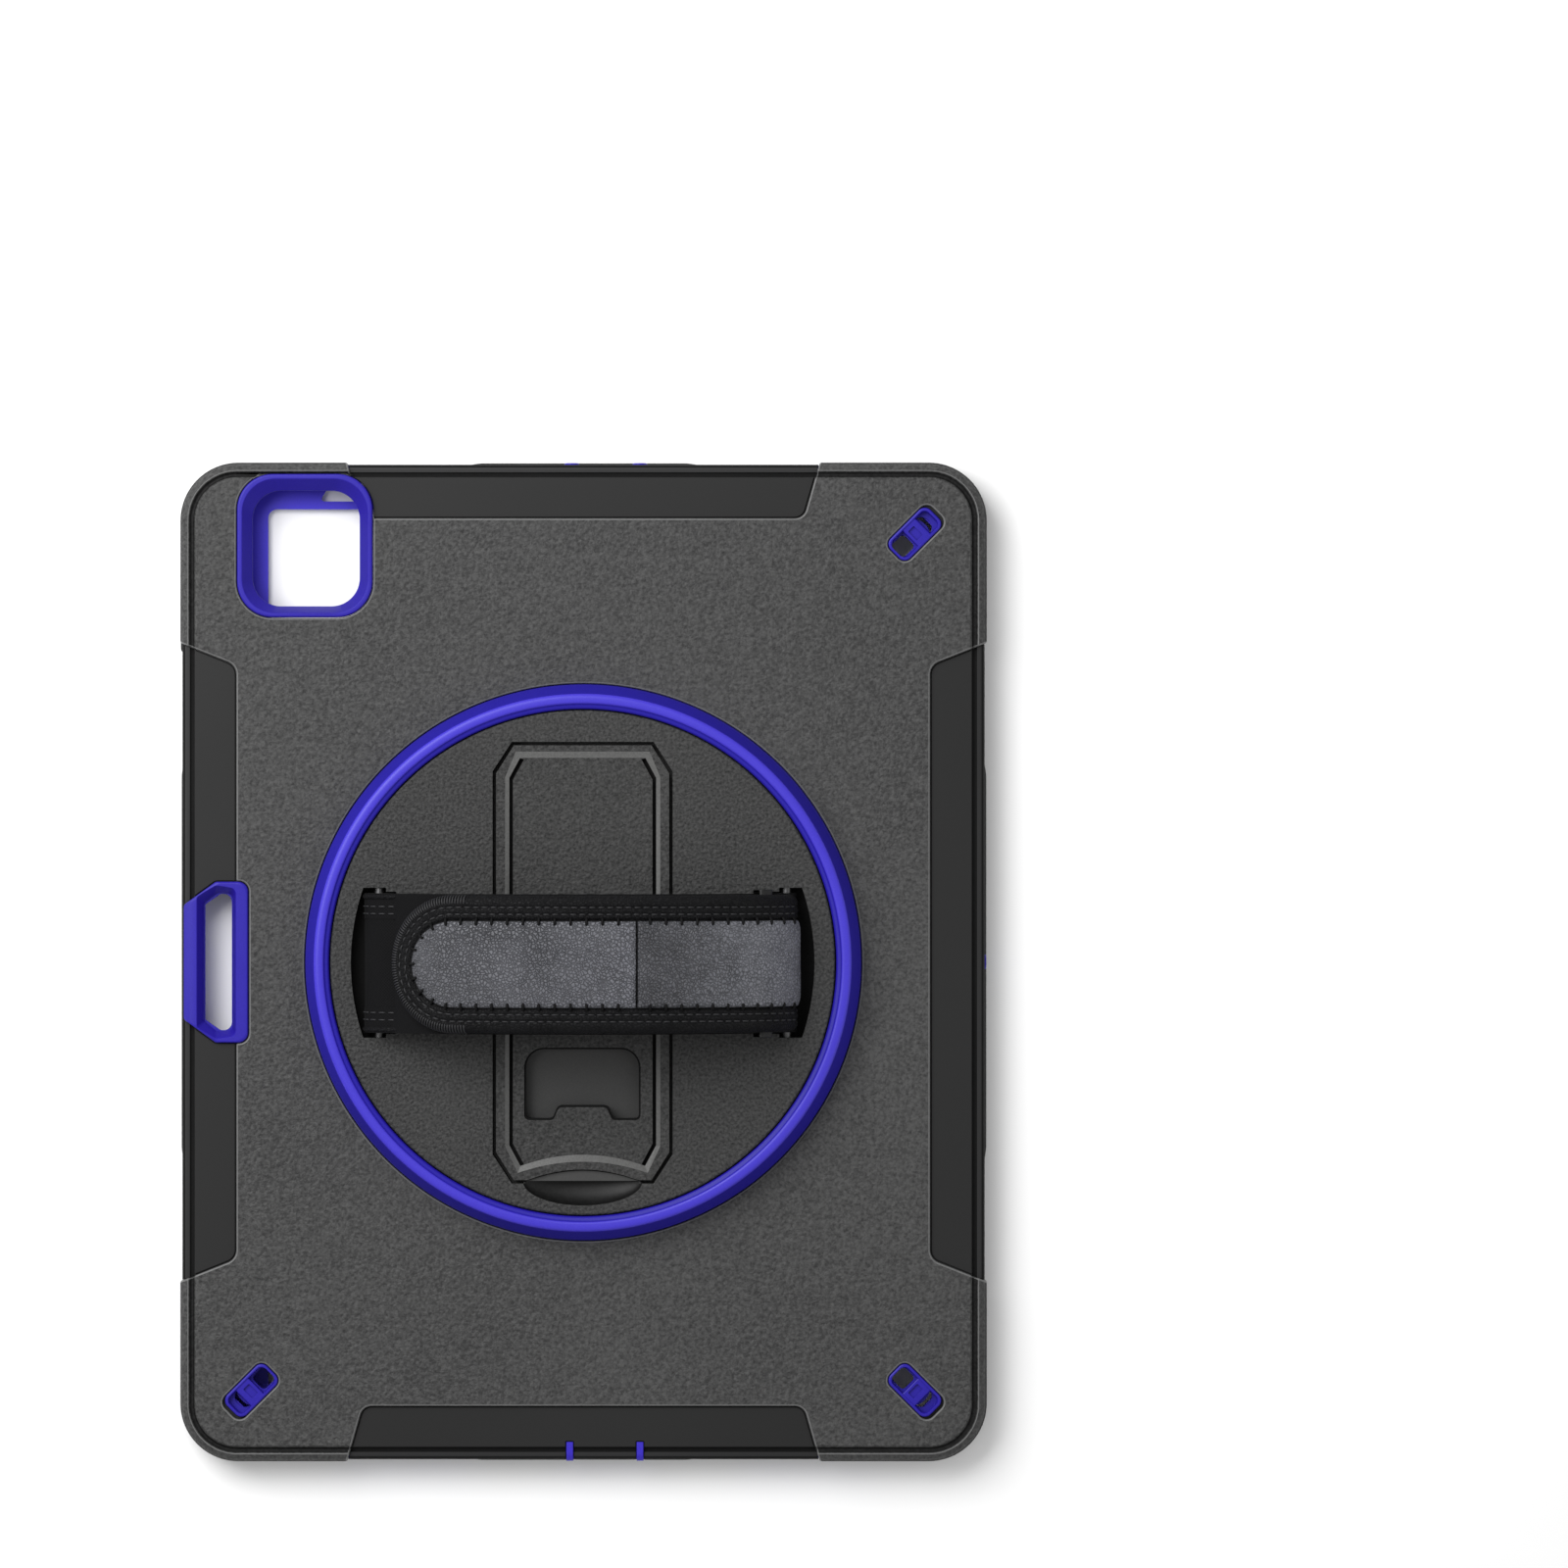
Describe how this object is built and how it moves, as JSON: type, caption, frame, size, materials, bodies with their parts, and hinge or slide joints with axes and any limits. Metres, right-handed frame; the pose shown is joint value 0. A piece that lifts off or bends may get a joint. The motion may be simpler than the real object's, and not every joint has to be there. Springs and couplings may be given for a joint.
{
  "type": "tablet case",
  "caption": "Rugged protective case for a large tablet, with a rotating hand strap and kickstand turntable on its back, a stylus bay, a camera opening and a clip-on front frame.",
  "frame": {"origin": "middle of the plane of the front lip, which the case lies on, under the middle of its outline", "axes": "+X to the right when the back is seen with the camera opening at the top left, +Y towards the top edge with the camera opening, +Z out of the back"},
  "size_m": [0.2366, 0.293, 0.0506],
  "materials": {
    "front_blue": "satin blue polycarbonate, fine spark texture",
    "inner_blue": "satin blue polycarbonate",
    "ring_blue": "satin to semi-gloss blue, brighter on the rim",
    "trim_blue": "satin blue",
    "skin_black": "soft black bumper, smooth matte",
    "shell_grey": "charcoal polycarbonate with a fine pebble texture",
    "disc_grey": "dark grey plastic with a fine pebble texture",
    "leg_grey": "dark grey plastic, textured panel inside a smooth border",
    "slide_plastic": "natural acetal",
    "webbing": "black woven strap, stitched near its edges",
    "pad_leather": "grey grained leather panel with a black stitched border",
    "keeper_black": "black moulded loop",
    "button_black": "black moulded key cap",
    "steel": "plain steel"
  },
  "bodies": {
    "case": {"bumper_skin": "skin_black", "camera_surround": "trim_blue", "guide_ring": "ring_blue", "inner_shell": "inner_blue", "lanyard_anchor_1": "trim_blue", "lanyard_anchor_2": "trim_blue", "lanyard_anchor_3": "trim_blue", "mic_port_1": "trim_blue", "mic_port_2": "trim_blue", "mic_port_3": "trim_blue", "rear_shell": "shell_grey", "ring_screw_1": "steel", "ring_screw_2": "steel", "ring_screw_3": "steel", "ring_screw_4": "steel", "ring_screw_5": "steel", "ring_screw_6": "steel", "slide_ring": "slide_plastic", "speaker_grille_1": "trim_blue", "speaker_grille_2": "trim_blue", "speaker_grille_3": "trim_blue", "speaker_grille_4": "trim_blue", "stylus_window_trim": "trim_blue"},
    "front": {"front_frame": "front_blue"},
    "turntable": {"turntable_disc": "disc_grey", "hinge_cover": "disc_grey", "kickstand_axle": "steel", "strap_pin_left": "steel", "strap_pin_right": "steel", "strap_band": "webbing", "strap_pad": "pad_leather", "strap_keeper": "keeper_black"},
    "kickstand": {"kickstand_leg": "leg_grey"},
    "power_key": {"power_button": "button_black"},
    "volume_up_key": {"volume_up": "button_black"},
    "volume_down_key": {"volume_down": "button_black"},
    "flap": {"port_flap": "skin_black"}
  },
  "joints": [
    {"name": "turntable_spin", "type": "hinge", "parent": "case", "child": "turntable", "pos_m": [0, 0, 0.0141], "axis": [0, 0, 1], "continuous": true},
    {"name": "kickstand_hinge", "type": "hinge", "parent": "turntable", "child": "kickstand", "pos_m": [0, -0.005, 0.0182], "axis": [-1, 0, 0], "range_deg": [0, 46]},
    {"name": "front_frame_off", "type": "slide", "parent": "case", "child": "front", "axis": [0, 0, -1], "range_m": [0, 0.03]},
    {"name": "power_press", "type": "slide", "parent": "case", "child": "power_key", "axis": [0, -1, 0], "range_m": [0, 0.0005], "stiffness_N_per_m": 400, "springref_m": -0.002},
    {"name": "volume_up_press", "type": "slide", "parent": "case", "child": "volume_up_key", "axis": [1, 0, 0], "range_m": [0, 0.0005], "stiffness_N_per_m": 400, "springref_m": -0.002},
    {"name": "volume_down_press", "type": "slide", "parent": "case", "child": "volume_down_key", "axis": [1, 0, 0], "range_m": [0, 0.0005], "stiffness_N_per_m": 400, "springref_m": -0.002},
    {"name": "flap_open", "type": "hinge", "parent": "case", "child": "flap", "pos_m": [0.0063, -0.1451, 0.0097], "axis": [-1, 0, 0], "range_deg": [0, 100], "stiffness_Nm_per_rad": 0.002}
  ]
}
